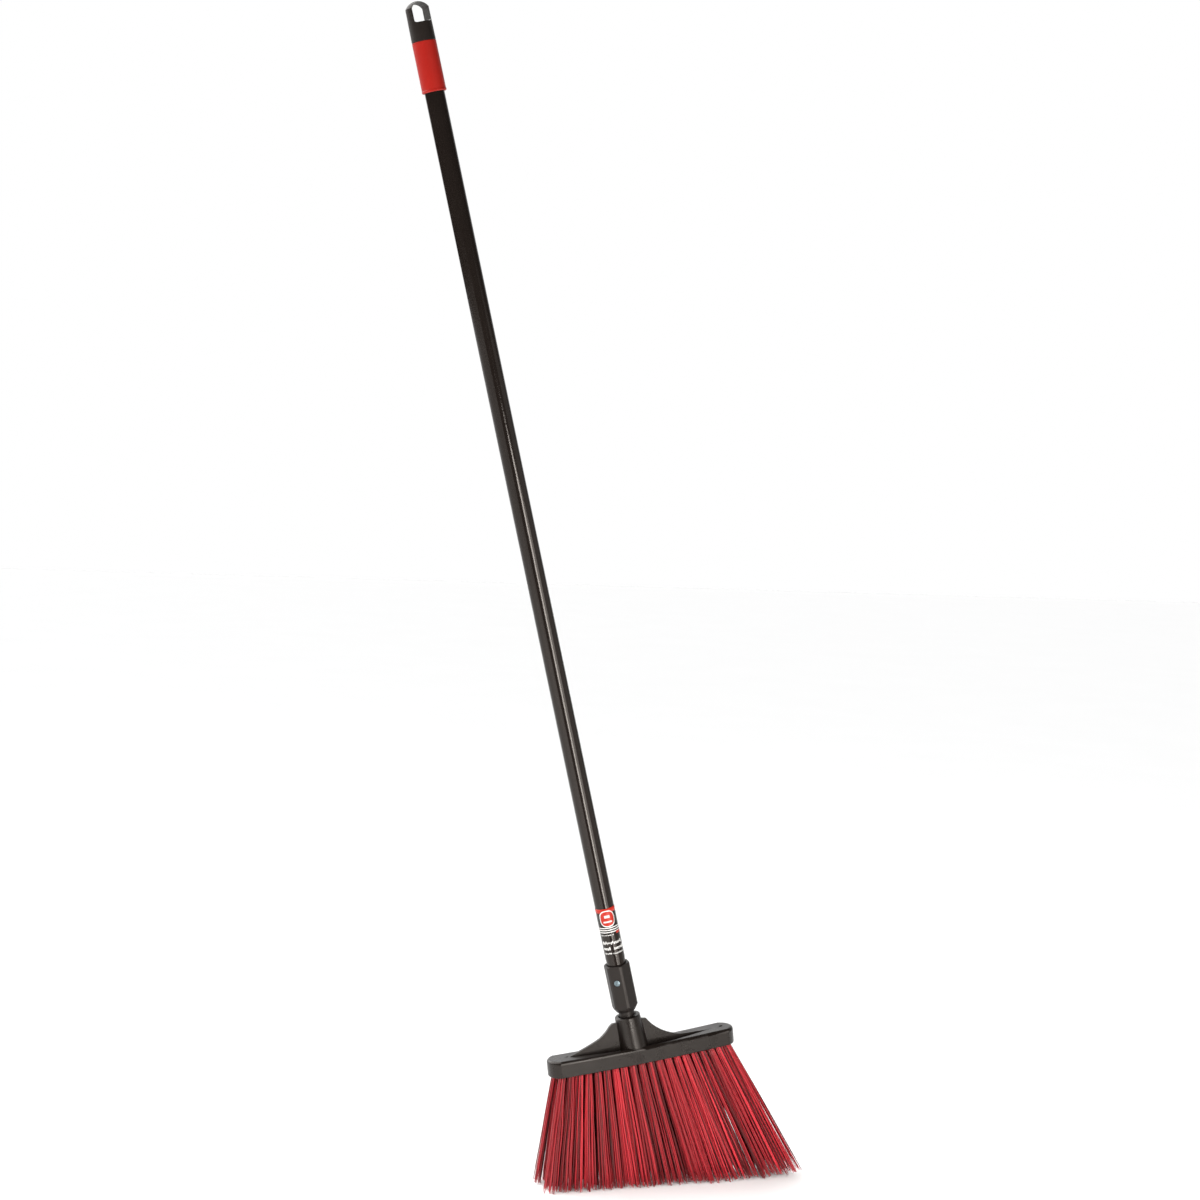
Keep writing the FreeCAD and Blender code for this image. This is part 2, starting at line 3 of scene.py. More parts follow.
import bpy
import numpy as np
from mathutils import Euler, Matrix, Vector


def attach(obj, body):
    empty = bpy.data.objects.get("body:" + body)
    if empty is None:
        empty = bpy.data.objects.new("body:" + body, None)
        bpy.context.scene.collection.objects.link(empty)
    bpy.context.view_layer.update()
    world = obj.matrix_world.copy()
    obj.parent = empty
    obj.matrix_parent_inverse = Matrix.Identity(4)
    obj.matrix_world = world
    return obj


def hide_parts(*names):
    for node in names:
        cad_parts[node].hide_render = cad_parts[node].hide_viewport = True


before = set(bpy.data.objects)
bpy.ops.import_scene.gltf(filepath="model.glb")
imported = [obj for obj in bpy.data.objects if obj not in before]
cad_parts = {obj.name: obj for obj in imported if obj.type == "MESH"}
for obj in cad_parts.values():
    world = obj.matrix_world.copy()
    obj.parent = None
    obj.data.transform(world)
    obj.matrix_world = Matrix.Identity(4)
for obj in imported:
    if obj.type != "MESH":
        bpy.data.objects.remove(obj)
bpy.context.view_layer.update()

# ---------------------------------------------------------------------------
# Sizes that repeat the CAD model's, in metres
# ---------------------------------------------------------------------------

MM = 0.001
RIM = Vector((-0.070765, 0.0, 0.213872))        # where the handle's axis meets the socket's rim
HANDLE_LEAN = math.radians(15)
DECK = Vector((-0.05065, 0.0, 0.17718))         # middle of the head's flat top
HEAD_LEAN = math.radians(8.4)
BLOCK_DEPTH = 20.5 * MM
BLOCK_BOW = 2.2 * MM
BOW_REACH = 130 * MM                            # from the middle to where BLOCK_BOW is measured
HOLE_RADIUS = 4.45 * MM
HOLE_DEPTH = 13 * MM
MOUTH_REACH = 110.5 * MM                        # from the middle to the end tuft, at the block
END_REACH = 169 * MM                            # the same at the floor
ROW_AT_BLOCK = 12 * MM
ROW_AT_FLOOR = 20 * MM
OUTER_COUNT = 20
MIDDLE_COUNT = 19

LABEL_RADIUS = 12.22 * MM
LABEL_TURN = math.radians(-16)                  # which way the label's middle looks, from the front

# ---------------------------------------------------------------------------
# Camera
# ---------------------------------------------------------------------------

CAMERA_PLACE = (-1.0454, -2.5411, 0.8878)
CAMERA_TURN = (86.724, -2.667, -19.607)         # degrees about x, y and z
LENS, SENSOR = 66, 36                           # millimetres
SIGHT = 60                                      # metres, well past the floor's far corners

camera = bpy.data.objects.new("camera", bpy.data.cameras.new("camera"))
camera.location = CAMERA_PLACE
camera.rotation_euler = Euler([math.radians(angle) for angle in CAMERA_TURN])
camera.data.lens = LENS
camera.data.sensor_width = SENSOR
camera.data.clip_end = SIGHT
bpy.context.scene.collection.objects.link(camera)
bpy.context.scene.camera = camera

# ---------------------------------------------------------------------------
# Material helpers
# ---------------------------------------------------------------------------


class Shader:
    """A node material, built up socket by socket."""

    def __init__(self, name, **finish):
        self.material = bpy.data.materials.new(name)
        self.material.use_nodes = True
        self.tree = self.material.node_tree
        self.principled = self.tree.nodes["Principled BSDF"]
        for socket, value in finish.items():
            self.principled.inputs[socket.replace("_", " ")].default_value = value
        self.place = self.add("ShaderNodeTexCoord").outputs["Object"]

    def add(self, kind, inputs=None, **settings):
        node = self.tree.nodes.new(kind)
        for key, value in settings.items():
            setattr(node, key, value)
        for socket, value in (inputs or {}).items():
            self.put(node.inputs[socket], value)
        return node

    def put(self, socket, value):
        if isinstance(value, bpy.types.NodeSocket):
            self.tree.links.new(value, socket)
        else:
            socket.default_value = value

    def stretched(self, x, y, z, turn=(0, 0, 0)):
        """The object's coordinates, turned and then scaled."""
        turned = self.add("ShaderNodeMapping", {"Vector": self.place, "Rotation": turn})
        return self.add(
            "ShaderNodeMapping", {"Vector": turned.outputs[0], "Scale": (x, y, z)}
        ).outputs[0]

    def noise(self, scale, detail=3.0, rough=0.55, where=None, twist=0.0):
        return self.add(
            "ShaderNodeTexNoise",
            {
                "Vector": where or self.place,
                "Scale": scale,
                "Detail": detail,
                "Roughness": rough,
                "Distortion": twist,
            },
        ).outputs["Fac"]

    def pebbles(self, scale):
        return self.add(
            "ShaderNodeTexVoronoi", {"Vector": self.place, "Scale": scale}
        ).outputs["Distance"]

    def level(self, value, low, high, start=0.0, end=1.0):
        """value from low..high, mapped to start..end and held there."""
        return self.add(
            "ShaderNodeMapRange",
            {"Value": value, "From Min": low, "From Max": high, "To Min": start, "To Max": end},
        ).outputs["Result"]

    def tint(self, amount, dark, light):
        """A colour from dark, where amount is 0, to light, where it is 1."""
        ramp = self.add("ShaderNodeValToRGB", {"Fac": amount})
        ramp.color_ramp.elements[0].color = (*dark, 1)
        ramp.color_ramp.elements[1].color = (*light, 1)
        return ramp.outputs["Color"]

    def mix(self, amount, a, b):
        node = self.add("ShaderNodeMix", data_type="RGBA")
        self.put(node.inputs[0], amount)
        self.put(node.inputs[6], a)
        self.put(node.inputs[7], b)
        return node.outputs[2]

    def times(self, a, b):
        node = self.add("ShaderNodeMath", operation="MULTIPLY")
        self.put(node.inputs[0], a)
        self.put(node.inputs[1], b)
        return node.outputs[0]

    def bump(self, height, depth, under=None):
        """A relief depth metres deep, laid over another one if there is one under it."""
        inputs = {"Height": height, "Distance": depth, "Strength": 1.0}
        if under is not None:
            inputs["Normal"] = under
        return self.add("ShaderNodeBump", inputs).outputs["Normal"]

    def finish(self, colour, rough, normal):
        self.put(self.principled.inputs["Base Color"], colour)
        self.put(self.principled.inputs["Roughness"], rough)
        self.put(self.principled.inputs["Normal"], normal)
        return self.material


WARM_GLOSS = (1, 0.93, 0.87, 1)                 # a warm cast on the shine


def moulded(name, dark, light, rough, scuffs=0.5, grain=0.06 * MM, grain_scale=1500):
    """Injection-moulded plastic: fine spark-eroded grain, soft clouds of tone and light scuffs."""
    s = Shader(name, Specular_IOR_Level=0.34, Specular_Tint=WARM_GLOSS)
    clouds = s.noise(28, 4, 0.6)
    speckle = s.noise(700, 2, 0.5)
    colour = s.mix(
        s.level(speckle, 0.3, 0.7), s.tint(clouds, dark, light), s.tint(speckle, dark, light)
    )
    scratch = s.noise(60, 6, 0.7, s.stretched(1, 7, 1, (0.4, 0.2, 0.9)), twist=1.2)
    worn = s.level(scratch, 0.58, 0.72)
    colour = s.mix(s.times(worn, 0.25 * scuffs), colour, (*[2.4 * c for c in light], 1))
    roughness = s.level(s.noise(45, 5, 0.65), 0.25, 0.75, rough - 0.06, rough + 0.08)
    fine = s.bump(s.noise(grain_scale, 3, 0.6), grain)
    pits = s.bump(s.pebbles(grain_scale * 0.7), grain * 0.6, fine)
    return s.finish(colour, roughness, pits)


TUBE_BLACK = (0.0085, 0.0062, 0.0052), (0.0125, 0.0094, 0.0080)
RUB_GREY = (0.05, 0.045, 0.04, 1)


def coated_tube(name):
    """Glossy black powder coat: a little orange peel, dust and fine rub marks along the tube."""
    s = Shader(name, Specular_IOR_Level=0.33, Specular_Tint=WARM_GLOSS)
    along = s.stretched(1, 1, 0.06, (0, -HANDLE_LEAN, 0))
    colour = s.tint(s.noise(30, 4, 0.6), *TUBE_BLACK)
    rubs = s.level(s.noise(300, 4, 0.6, along), 0.6, 0.8)
    colour = s.mix(s.times(rubs, 0.08), colour, RUB_GREY)
    roughness = s.level(s.noise(90, 4, 0.6, along), 0.3, 0.7, 0.10, 0.14)
    peel = s.bump(s.noise(420, 2, 0.5), 0.04 * MM)
    return s.finish(colour, roughness, s.bump(s.noise(2600, 2, 0.5), 0.01 * MM, peel))


def printed_film(name, dark, light, rough, **finish):
    """Screen-printed plastic film: smooth, a trace of ripple, ink a little uneven."""
    s = Shader(name, **finish)
    ink = s.noise(900, 3, 0.55)
    clouds = s.noise(60, 3, 0.5)
    colour = s.mix(
        s.level(ink, 0.35, 0.65), s.tint(clouds, dark, light), s.tint(ink, dark, light)
    )
    roughness = s.level(s.noise(120, 3, 0.5), 0.3, 0.7, rough - 0.04, rough + 0.06)
    return s.finish(colour, roughness, s.bump(s.noise(160, 3, 0.5), 0.06 * MM))


ZINC = (0.13, 0.175, 0.195), (0.22, 0.28, 0.305)


def zinc_plate(name):
    """Bright zinc plating with a cool cast, brushed and lightly pitted."""
    s = Shader(name, Metallic=0.55)
    colour = s.tint(s.noise(500, 4, 0.6), *ZINC)
    roughness = s.level(s.noise(900, 4, 0.6), 0.3, 0.7, 0.3, 0.5)
    return s.finish(colour, roughness, s.bump(s.noise(1800, 3, 0.6), 0.03 * MM))


CRIMSON = (0.02, 0.0006, 0.0014), (0.60, 0.022, 0.036)
SHEEN_LINE_CRIMSON = (0.56, 0.040, 0.052, 1)
TIP_CRIMSON = (0.55, 0.05, 0.06, 1)


def fibre(name):
    """Extruded crimson fibre: each filament has its own tone, with fine lines along it in relief,
    painted pinker on the lighter strands as highlight streaks.
    """
    s = Shader(name, Specular_IOR_Level=0.4, Specular_Tint=WARM_GLOSS)
    tone = s.add("ShaderNodeAttribute", attribute_name="tone").outputs["Fac"]
    reach = s.add("ShaderNodeAttribute", attribute_name="reach").outputs["Fac"]
    colour = s.tint(tone, *CRIMSON)
    lines = s.noise(1100, 3, 0.6, s.stretched(1, 1, 0.03))
    # Painted highlight: the fine lines are tinted pinker, more on lighter strands, for the sheen
    # along them.
    lit_lines = s.times(s.level(lines, 0.4, 0.75, 0.0, 0.3), tone)
    colour = s.mix(lit_lines, colour, SHEEN_LINE_CRIMSON)
    colour = s.mix(s.level(reach, 0.94, 1.0, 0.0, 0.3), colour, TIP_CRIMSON)
    roughness = s.level(tone, 0.0, 1.0, 0.32, 0.46)
    return s.finish(colour, roughness, s.bump(lines, 0.08 * MM))


FLOOR_WHITE = (0.90, 0.90, 0.90), (0.92, 0.92, 0.92)


def pale_floor(name):
    """Matt studio floor."""
    s = Shader(name, Specular_IOR_Level=0.1)
    tone = s.tint(s.noise(3, 3, 0.5), *FLOOR_WHITE)
    return s.finish(tone, 0.9, s.bump(s.noise(40, 3, 0.5), 0.2 * MM))


# ---------------------------------------------------------------------------
# CAD nodes keep their shape and take a moulded, coated or plated finish
# ---------------------------------------------------------------------------

HEAD_BLACK = (0.0052, 0.0037, 0.0031), (0.0090, 0.0066, 0.0055)
FERRULE_BLACK = (0.0046, 0.0031, 0.0027), (0.0078, 0.0055, 0.0047)
CAP_BLACK = (0.0105, 0.0078, 0.0068), (0.016, 0.0122, 0.0105)
SLEEVE_RED = (0.28, 0.008, 0.0055), (0.35, 0.014, 0.0085)

NODE_FINISH = {
    "broom_head": moulded("head_black", *HEAD_BLACK, 0.28, grain=0.04 * MM, grain_scale=1300),
    "ferrule": moulded("ferrule_black", *FERRULE_BLACK, 0.42, scuffs=0.8),
    "hang_cap": moulded("cap_black", *CAP_BLACK, 0.44, scuffs=0.6),
    "grip_sleeve": moulded("sleeve_red", *SLEEVE_RED, 0.45, scuffs=0.1),
    "handle_tube": coated_tube("tube_black"),
    "handle_label": printed_film(
        "label_black", *TUBE_BLACK, 0.16, Specular_IOR_Level=0.33, Specular_Tint=WARM_GLOSS
    ),
    "ferrule_screw": zinc_plate("screw_zinc"),
}

for name, material in NODE_FINISH.items():
    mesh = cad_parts[name].data
    mesh.materials.clear()
    mesh.materials.append(material)


# ---------------------------------------------------------------------------
# Mesh helper
# ---------------------------------------------------------------------------


def new_piece(name, points, faces, material, body, floats=None):
    """A mesh piece that rides on a body and takes its finish from a slot."""
    mesh = bpy.data.meshes.new(name)
    mesh.from_pydata([tuple(p) for p in points], [], faces)
    for key, values in (floats or {}).items():
        mesh.attributes.new(key, "FLOAT", "POINT").data.foreach_set("value", values)
    mesh.polygons.foreach_set("use_smooth", [True] * len(mesh.polygons))
    mesh.materials.append(material)
    mesh.update()
    piece = bpy.data.objects.new(name, mesh)
    bpy.context.scene.collection.objects.link(piece)
    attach(piece, body)
    return piece


# ---------------------------------------------------------------------------
# Bristles: every tuft is a bundle of separate filaments
# ---------------------------------------------------------------------------

FILAMENTS = 40                  # in one tuft
CLUMPS = 11                     # groups of strands that cling together, in one tuft
SIDES = 5
RINGS = 9
FILAMENT_RADIUS = 0.66 * MM
ROOT_SPREAD = HOLE_RADIUS - 0.75 * MM
END_SPREAD = 9.7 * MM
FLARE = 0.88, 1.1               # the least and most of END_SPREAD that a tuft takes
ROOT_GAP = 1 * MM               # between a strand's root and the bottom of its hole
FLOOR_GAP = 0.05 * MM           # no strand comes nearer to the floor
JITTER = 0.35                   # how far a strand moves from its even place in the tuft
CLUMP_DISC = 0.98               # the part of the tuft that the clumps' middles take up
CLING = 0.5                     # how far a strand's end leans to its clump
END_DRIFT = 0.06                # how far it strays from there, in tuft radii
WAVE = 0.7 * MM
WAVE_SHARE = 0.3, 1.0           # the least and most of WAVE that a strand takes
WAVE_TURNS = 0.6, 1.5           # waves along a strand
WAVE_DRIFT = 0.5                # radians between the waves of one clump's strands
WAVE_REACH = 1.15               # above 1, the waves die away before the tip
THICKNESS = 0.75, 1.15          # the least and most of FILAMENT_RADIUS that a strand takes
TAPER_FROM, TAPER = 0.88, 0.5   # where a strand's tip begins to taper, and by how much
UNEVEN = 4.5 * MM               # how much the clumps differ in length
UNEVEN_POWER = 1.6              # above 1, most clumps are long and a few are short
UNEVEN_STRANDS = 0.5 * MM       # how much the strands of one clump differ in length
STRAY_SHARE = 0.03
STRAY_REACH = 1.35              # how much further than its place a stray's end stands out
SHADED_STRAND_SHARE = 0.14               # painted shade: strands coloured nearly black, standing for the shadowed gaps between the lit ones
SHADED_STRAND_TONE = 0.15
CLUMP_TONE = 0.5                # how much of a strand's tone its whole clump shares
MIDDLE_ROW_PAINTED_SHADE = 0.55              # painted shade: the middle row's colour is darkened, as it lies in the shade of the other two
TUFT_DRIFT = 0.9 * MM           # how far a tuft's end strays from its place
SHORT_END = 4.5 * MM            # how much shorter the fibres are at the far end of the head
SHORT_FROM, SHORT_OVER = 80 * MM, 90 * MM       # where they begin to shorten, and over how far
FAR_PULL = 0.03                 # the fan opens less on the far side

head_x = Vector((math.cos(HEAD_LEAN), 0, math.sin(HEAD_LEAN)))
head_up = Vector((-math.sin(HEAD_LEAN), 0, math.cos(HEAD_LEAN)))


def spread(count, reach):
    return np.linspace(-reach, reach, count)


def disc(rng, count):
    """Points over a unit disc in a sunflower order, each moved a little."""
    k = np.arange(count) + 0.5
    radius = np.sqrt(k / count)
    angle = k * math.pi * (3 - math.sqrt(5)) + rng.uniform(0, 2 * math.pi)
    points = np.stack([radius * np.cos(angle), radius * np.sin(angle)], 1)
    return points + rng.normal(0, JITTER / math.sqrt(count), (count, 2))


def tuft_ends(side, count, share):
    """For each tuft in a row: its root, the middle of its trimmed end, its direction and x."""
    for x_block, x_end in zip(spread(count, MOUTH_REACH * share), spread(count, END_REACH * share)):
        z_mouth = BLOCK_BOW * (x_block / BOW_REACH) ** 2 - BLOCK_DEPTH
        across = Vector((0, side * ROW_AT_BLOCK, 0))
        mouth = DECK + head_x * x_block + head_up * z_mouth + across
        end = Vector((x_end - FAR_PULL * max(x_end, 0), side * ROW_AT_FLOOR, 0))
        line = (end - mouth).normalized()
        root = mouth - line * (HOLE_DEPTH - ROOT_GAP)
        yield np.array(root), np.array(end), np.array(line), x_end


def tuft(rng, root, end, line, lift):
    """Ring points of every filament, as (filament, ring, side, xyz), and each one's tone."""
    across = np.cross(line, (0.0, 1.0, 0.0))
    across /= np.linalg.norm(across)
    deep = np.cross(across, line)
    own = disc(rng, FILAMENTS)
    centres = disc(rng, CLUMPS) * CLUMP_DISC
    clump = np.argmin(((own[:, None] - centres[None]) ** 2).sum(2), 1)
    ends = own + (centres[clump] - own) * CLING + rng.normal(0, END_DRIFT, own.shape)
    stray = rng.random(FILAMENTS) < STRAY_SHARE
    ends[stray] *= STRAY_REACH
    rise = rng.uniform(0.0, 1.0, CLUMPS)[clump] ** UNEVEN_POWER * UNEVEN
    rise += np.abs(rng.normal(0, UNEVEN_STRANDS, FILAMENTS))
    rise += lift
    end = end + np.array([*rng.normal(0, TUFT_DRIFT, 2), 0])
    flare = END_SPREAD * rng.uniform(*FLARE)

    tips = end + (ends * flare) @ np.stack([across, deep])
    tips += line * ((rise - tips[:, 2]) / line[2])[:, None]
    roots = root + (own * ROOT_SPREAD) @ np.stack([across, deep])

    share = np.linspace(0, 1, RINGS)
    middle = roots[:, None] + (tips - roots)[:, None] * share[None, :, None]
    phase = rng.uniform(0, 2 * math.pi, (CLUMPS, 2))[clump]
    phase += rng.normal(0, WAVE_DRIFT, (FILAMENTS, 2))
    turns = rng.uniform(*WAVE_TURNS, (CLUMPS, 2))[clump]
    size = WAVE * rng.uniform(*WAVE_SHARE, FILAMENTS)
    swing = np.sin(2 * math.pi * turns[:, None] * share[None, :, None] + phase[:, None])
    envelope = np.sin(math.pi * np.minimum(share * WAVE_REACH, 1.0)) ** 0.5
    swing *= (size[:, None] * envelope)[..., None]
    middle = middle + swing @ np.stack([across, deep])

    angle = 2 * math.pi * np.arange(SIDES) / SIDES
    ring = np.stack([np.cos(angle), np.sin(angle)], 1) @ np.stack([across, deep])
    thick = FILAMENT_RADIUS * rng.uniform(*THICKNESS, FILAMENTS)
    taper = 1 - TAPER * np.clip((share - TAPER_FROM) / (1 - TAPER_FROM), 0, 1)
    points = middle[:, :, None] + ring[None, None] * (thick[:, None] * taper)[..., None, None]
    points[..., 2] = np.maximum(points[..., 2], FLOOR_GAP)
    tone = rng.uniform(0, 1, CLUMPS)[clump] * CLUMP_TONE
    tone += rng.uniform(0, 1 - CLUMP_TONE, FILAMENTS)
    # Painted shade: a share of strands is darkened to nearly black for the shade between strands.
    tone[rng.random(FILAMENTS) < SHADED_STRAND_SHARE] *= SHADED_STRAND_TONE
    return points, tone


def bristle_row(name, side, count, share, shade, seed):
    """One row of tufts as one piece. Shade is painted shade: it darkens the row's colour."""
    rng = np.random.default_rng(seed)
    blocks, tones = [], []
    for root, end, line, x_end in tuft_ends(side, count, share):
        lift = SHORT_END * min(max((x_end - SHORT_FROM) / SHORT_OVER, 0), 1)
        points, tone = tuft(rng, root, end, line, lift)
        blocks.append(points)
        # Painted shade: the row's strand tones are scaled down by shade.
        tones.append(tone * shade)
    points = np.concatenate(blocks)
    tones = np.concatenate(tones)
    starts = np.arange(len(points)) * RINGS * SIDES
    first = starts[:, None, None]
    ring = np.arange(RINGS - 1)[None, :, None] * SIDES
    a = np.arange(SIDES)[None, None]
    b = (a + 1) % SIDES
    quads = np.stack(
        [first + ring + a, first + ring + b, first + ring + SIDES + b, first + ring + SIDES + a], -1
    ).reshape(-1, 4)
    bottoms = starts[:, None] + np.arange(SIDES)[::-1]
    tops = starts[:, None] + (RINGS - 1) * SIDES + np.arange(SIDES)
    faces = quads.tolist() + bottoms.tolist() + tops.tolist()
    along = np.tile(np.repeat(np.linspace(0, 1, RINGS), SIDES), len(points))
    return new_piece(
        name,
        points.reshape(-1, 3),
        faces,
        BRISTLE,
        "head",
        {"tone": np.repeat(tones, RINGS * SIDES), "reach": along},
    )


BRISTLE = fibre("bristle_crimson")
MIDDLE_SHARE = (MIDDLE_COUNT - 1) / (OUTER_COUNT - 1)
for row, side, count, share, shade, seed in (
    ("front", -1, OUTER_COUNT, 1.0, 1.0, 11),
    ("middle", 0, MIDDLE_COUNT, MIDDLE_SHARE, MIDDLE_ROW_PAINTED_SHADE, 12),
    ("back", 1, OUTER_COUNT, 1.0, 1.0, 13),
):
    strands = bristle_row("bristles_" + row, side, count, share, shade, seed)
    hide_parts("bristle_row_" + row)

# ---------------------------------------------------------------------------
# Label printing: thin raised ink on the film, all plain shapes
# ---------------------------------------------------------------------------

handle_up = Vector((-math.sin(HANDLE_LEAN), 0, math.cos(HANDLE_LEAN)))
handle_x = Vector((math.cos(HANDLE_LEAN), 0, math.sin(HANDLE_LEAN)))
handle_y = Vector((0, 1, 0))
label_front = -handle_y * math.cos(LABEL_TURN) + handle_x * math.sin(LABEL_TURN)
label_side = handle_x * math.cos(LABEL_TURN) + handle_y * math.sin(LABEL_TURN)

INK_THICK = 0.03 * MM
INK_GAP = 0.02 * MM                             # between the film and the first ink
INK_STEP = 0.04 * MM                            # from one layer of ink to the next

# The label's heights and widths are in millimetres, from the socket's rim along the handle and
# round the film.
COLUMN = 1.2                                    # a bar has about one column of faces for each
MARK_WIDTH = 0.9, 1.9                           # the least and most, in strokes
MARK_GAP = 0.55                                 # in strokes
MARK_LIFTS = 0.0, 0.0, 0.25                     # how far up its row a mark may begin
MARK_DROPS = 0.0, 0.3, 0.3                      # how far short of the top it may end
BADGE_POWER = 2.6                               # 2 would be an ellipse, and more is squarer
BADGE_ROWS, BADGE_COLUMNS = 18, 16
BADGE_TRIM = 0.15                               # of a row, so that the ends aren't points


class Ink:
    """Closed thin patches bent round the label, gathered into one mesh."""

    def __init__(self):
        self.points = []
        self.faces = []

    def patch(self, rows, layer, columns):
        """A closed patch whose rows are its height, left edge and right edge."""
        low = LABEL_RADIUS + INK_GAP + layer * INK_STEP
        base = len(self.points)
        for radius in (low, low + INK_THICK):
            for height, left, right in rows:
                for k in range(columns + 1):
                    arc = (left + (right - left) * k / columns) * MM
                    turn = arc / LABEL_RADIUS
                    out = label_front * math.cos(turn) + label_side * math.sin(turn)
                    self.points.append(RIM + handle_up * height * MM + out * radius)
        wide = columns + 1
        sheet = wide * len(rows)

        def at(level, i, j):
            return base + level * sheet + i * wide + j

        for i in range(len(rows) - 1):
            for j in range(columns):
                corners = (i, j), (i, j + 1), (i + 1, j + 1), (i + 1, j)
                self.faces.append([at(1, *c) for c in corners])
                self.faces.append([at(0, *c) for c in reversed(corners)])
        last = len(rows) - 1
        rim = [(0, j) for j in range(columns)] + [(i, columns) for i in range(last)]
        rim += [(last, j) for j in range(columns, 0, -1)] + [(i, 0) for i in range(last, 0, -1)]
        for here, there in zip(rim, rim[1:] + rim[:1]):
            self.faces.append([at(0, *here), at(0, *there), at(1, *there), at(1, *here)])

    def bar(self, low, high, left, right, layer=0):
        columns = max(2, int((right - left) / COLUMN))
        self.patch([(low, left, right), (high, left, right)], layer, columns)

    def marks(self, low, high, left, right, stroke, rng):
        """A row of small plain bars of uneven height and width, with narrow gaps."""
        while left < right - stroke:
            wide = stroke * rng.uniform(*MARK_WIDTH)
            lift = (high - low) * rng.choice(MARK_LIFTS)
            drop = (high - low) * rng.choice(MARK_DROPS)
            self.bar(low + lift, high - drop, left, min(left + wide, right))
            left += wide + MARK_GAP * stroke

    def badge(self, middle, height, width, layer):
        """A plain rounded patch: a superellipse."""
        rows = []
        for k in range(BADGE_ROWS + 1):
            angle = math.pi * (k + BADGE_TRIM) / (BADGE_ROWS + 2 * BADGE_TRIM) - math.pi / 2
            rise = math.sin(angle)
            half = (1 - abs(rise) ** BADGE_POWER) ** (1 / BADGE_POWER) * width / 2
            rows.append((middle + rise * height / 2, -half, half))
        self.patch(rows, layer, BADGE_COLUMNS)


LABEL_HALF = 38.2                               # half the way round, less a seam
TOP_BAND = 137.6, 143.2
SIDE_BAND = 109.4, 112.6, 8.0, 22.0             # low edge, high edge, left and right
BADGE_MIDDLE = 130.2
BADGE_RIM, BADGE_FACE = (21.0, 20.2), (18.4, 17.6)                  # height and width
BADGE_BARS = (131.2, 134.6, 3.4), (125.2, 127.2, 5.6)               # low, high, half width
LINES, LINE_THICK = (117.8, 115.0, 112.2), 1.2

# Each row of small marks: its low and high edge, a stroke's width, and its stretches.
MARK_ROWS = (
    (108.4, 109.8, 0.4, ((-14, -9.6), (-8.6, -4.8), (-3.8, 1.2), (2.2, 4.6))),
    (97.0, 101.4, 1.0, ((-14.5, 14.0),)),
    (89.8, 94.0, 1.0, ((-13.5, -3.0), (1.0, 17.0))),
    (84.3, 86.4, 0.6, ((-13.0, -2.5), (-1.0, 14.0))),
)

white, red = Ink(), Ink()
red.bar(*TOP_BAND, -LABEL_HALF, LABEL_HALF)
white.badge(BADGE_MIDDLE, *BADGE_RIM, layer=1)
red.badge(BADGE_MIDDLE, *BADGE_FACE, layer=2)
for low, high, half in BADGE_BARS:
    white.bar(low, high, -half, half, layer=3)
for low in LINES:
    white.bar(low, low + LINE_THICK, -LABEL_HALF, LABEL_HALF)
red.bar(*SIDE_BAND, layer=1)
marks = np.random.default_rng(5)
for low, high, stroke, stretches in MARK_ROWS:
    for left, right in stretches:
        white.marks(low, high, left, right, stroke, marks)

WHITE = (0.58, 0.57, 0.55), (0.66, 0.65, 0.63)
RED = (0.32, 0.014, 0.007), (0.40, 0.022, 0.011)
INK_ROUGH = 0.34
WHITE_INK = printed_film("ink_white", *WHITE, INK_ROUGH)
RED_INK = printed_film(
    "ink_red", *RED, INK_ROUGH, Specular_IOR_Level=0.3, Specular_Tint=WARM_GLOSS
)
new_piece("label_print_white", white.points, white.faces, WHITE_INK, "handle")
new_piece("label_print_red", red.points, red.faces, RED_INK, "handle")

# ---------------------------------------------------------------------------
# Floor and light
# ---------------------------------------------------------------------------

# The floor ends a little in front of the broom on the right and reaches forwards on the left,
# so that the glossy tube mirrors it on its left half only.
LEFT, RIGHT, BACK = -4.3, 14.0, 14.0
NEAR, FAR = -0.42, -4.7                         # how far forwards, on the right and on the left
NEAR_EDGE, FAR_EDGE = -0.30, -3.35              # the left part's slanting right edge
floor_mesh = bpy.data.meshes.new("floor")
floor_mesh.from_pydata(
    [
        (LEFT, BACK, 0),
        (LEFT, NEAR, 0),
        (NEAR_EDGE, NEAR, 0),
        (RIGHT, NEAR, 0),
        (RIGHT, BACK, 0),
        (LEFT, FAR, 0),
        (FAR_EDGE, FAR, 0),
    ],
    [],
    [(0, 1, 2, 3, 4), (1, 5, 6, 2)],
)
floor_mesh.materials.append(pale_floor("floor_pale"))
floor = bpy.data.objects.new("floor", floor_mesh)
bpy.context.scene.collection.objects.link(floor)

LAMP_TINT = (1, 0.985, 0.965)
LAMP_TARGET_X = -0.1


def softbox(name, angle, distance, height, width, tall, power, aim, mirrored=True):
    """An area light, angle degrees to the right of the camera as it faces the broom.

    It looks at the broom at the height aim. One that isn't mirrored lights surfaces but
    doesn't show in their shine.
    """
    azimuth = camera.rotation_euler.z - math.pi / 2 + math.radians(angle)
    data = bpy.data.lights.new(name, "AREA")
    data.shape = "RECTANGLE"
    data.size = width
    data.size_y = tall
    data.energy = power
    data.color = LAMP_TINT
    lamp = bpy.data.objects.new(name, data)
    lamp.location = (
        LAMP_TARGET_X + distance * math.cos(azimuth),
        distance * math.sin(azimuth),
        height,
    )
    target = Vector((LAMP_TARGET_X, 0, aim))
    lamp.rotation_euler = (target - lamp.location).to_track_quat("-Z", "Y").to_euler()
    lamp.visible_camera = False
    lamp.visible_glossy = mirrored
    bpy.context.scene.collection.objects.link(lamp)


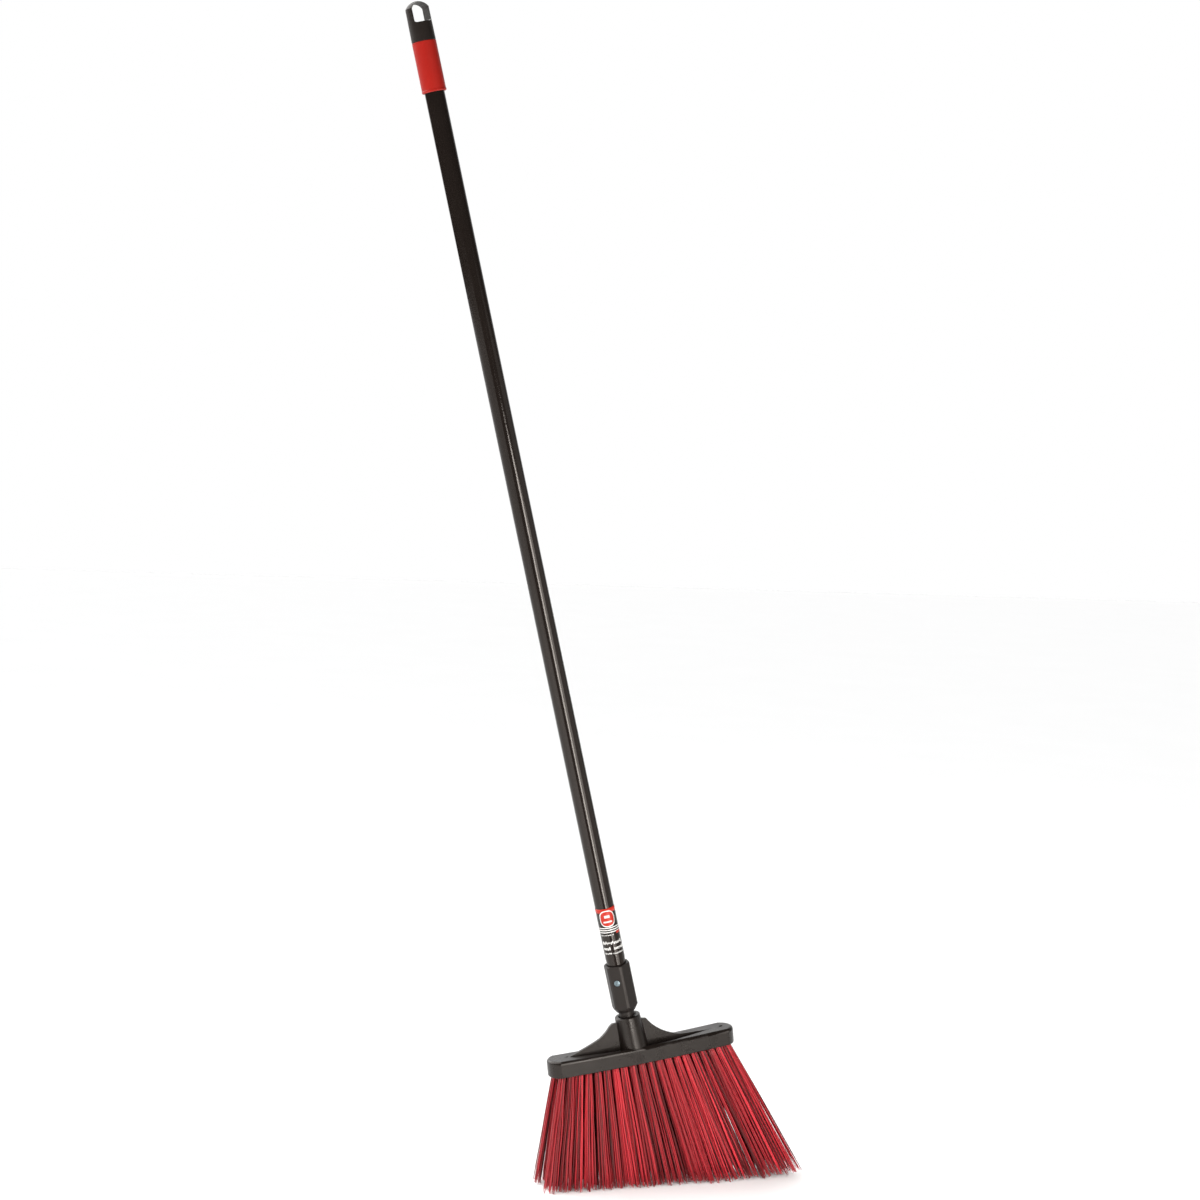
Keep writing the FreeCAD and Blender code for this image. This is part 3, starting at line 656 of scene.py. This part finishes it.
# The strip and the glow beside it make the bright streak down the tube, and the side light
# its dimmer right edge. The other two only light the bristles, the head and the cap.
MIRRORED_LIGHTS = {
    "strip": dict(angle=21, distance=1.25, height=0.40, width=0.26, tall=1.0, power=13.5, aim=0.40),
    "glow": dict(angle=36, distance=1.27, height=0.40, width=0.70, tall=1.0, power=10, aim=0.40),
    "side": dict(angle=82, distance=2.2, height=0.8, width=2.4, tall=1.6, power=7, aim=0.8),
}
UNMIRRORED_LIGHTS = {
    "fill": dict(angle=62, distance=1.9, height=1.45, width=0.5, tall=0.5, power=7, aim=1.25),
    "key": dict(angle=-34, distance=1.9, height=1.3, width=0.3, tall=0.3, power=27, aim=0.12),
}
for name, setting in MIRRORED_LIGHTS.items():
    softbox(name, **setting)
for name, setting in UNMIRRORED_LIGHTS.items():
    softbox(name, **setting, mirrored=False)

SUN_TURN = (-28, -38, 0)                        # degrees: from behind, on the left and above
SUN_SPREAD = 76                                 # degrees
SUN_POWER = 4.2
sky = bpy.data.lights.new("overhead", "SUN")
sky.energy = SUN_POWER
sky.angle = math.radians(SUN_SPREAD)
overhead = bpy.data.objects.new("overhead", sky)
overhead.rotation_euler = Euler([math.radians(angle) for angle in SUN_TURN])
bpy.context.scene.collection.objects.link(overhead)

world = bpy.data.worlds.new("studio")
bpy.context.scene.world = world
world.use_nodes = True
tree = world.node_tree
place = tree.nodes.new("ShaderNodeTexCoord")
split = tree.nodes.new("ShaderNodeSeparateXYZ")
ambient = tree.nodes["Background"]
ambient.inputs["Color"].default_value = (1, 1, 1, 1)
backdrop = tree.nodes.new("ShaderNodeBackground")
chosen = tree.nodes.new("ShaderNodeMixShader")
path = tree.nodes.new("ShaderNodeLightPath")


def ramp(value, low, high, start=0.0, end=1.0):
    """The world's brightness along one direction, from start at low to end at high."""
    node = tree.nodes.new("ShaderNodeMapRange")
    tree.links.new(value, node.inputs["Value"])
    node.inputs["From Min"].default_value = low
    node.inputs["From Max"].default_value = high
    node.inputs["To Min"].default_value = start
    node.inputs["To Max"].default_value = end
    return node.outputs[0]


def product(a, b):
    node = tree.nodes.new("ShaderNodeMath")
    node.operation = "MULTIPLY"
    tree.links.new(a, node.inputs[0])
    tree.links.new(b, node.inputs[1])
    return node.outputs[0]


# A bright wall behind the broom and a dim room in front of it; the camera sees plain white.
WALL_EDGE, WALL_FULL = 0.1, 0.9                 # in Y of the direction looked in
ROOM_LIGHT, WALL_LIGHT = 0.03, 1.3
FLOOR_EDGE = -0.04, 0.0                         # in Z: none below, all above
TOP_EDGE = 0.75, 0.45                           # in Z: none above, all below
tree.links.new(place.outputs["Generated"], split.inputs[0])
behind = ramp(split.outputs["Y"], WALL_EDGE, WALL_FULL, ROOM_LIGHT, WALL_LIGHT)
over_floor = product(ramp(split.outputs["Z"], *FLOOR_EDGE), ramp(split.outputs["Z"], *TOP_EDGE))
tree.links.new(product(behind, over_floor), ambient.inputs["Strength"])
backdrop.inputs["Color"].default_value = (1, 1, 1, 1)
tree.links.new(path.outputs["Is Camera Ray"], chosen.inputs[0])
tree.links.new(ambient.outputs[0], chosen.inputs[1])
tree.links.new(backdrop.outputs[0], chosen.inputs[2])
tree.links.new(chosen.outputs[0], tree.nodes["World Output"].inputs["Surface"])

bpy.context.scene.view_settings.view_transform = "Standard"

# ---------------------------------------------------------------------------
# The end
# ---------------------------------------------------------------------------

bpy.context.view_layer.update()
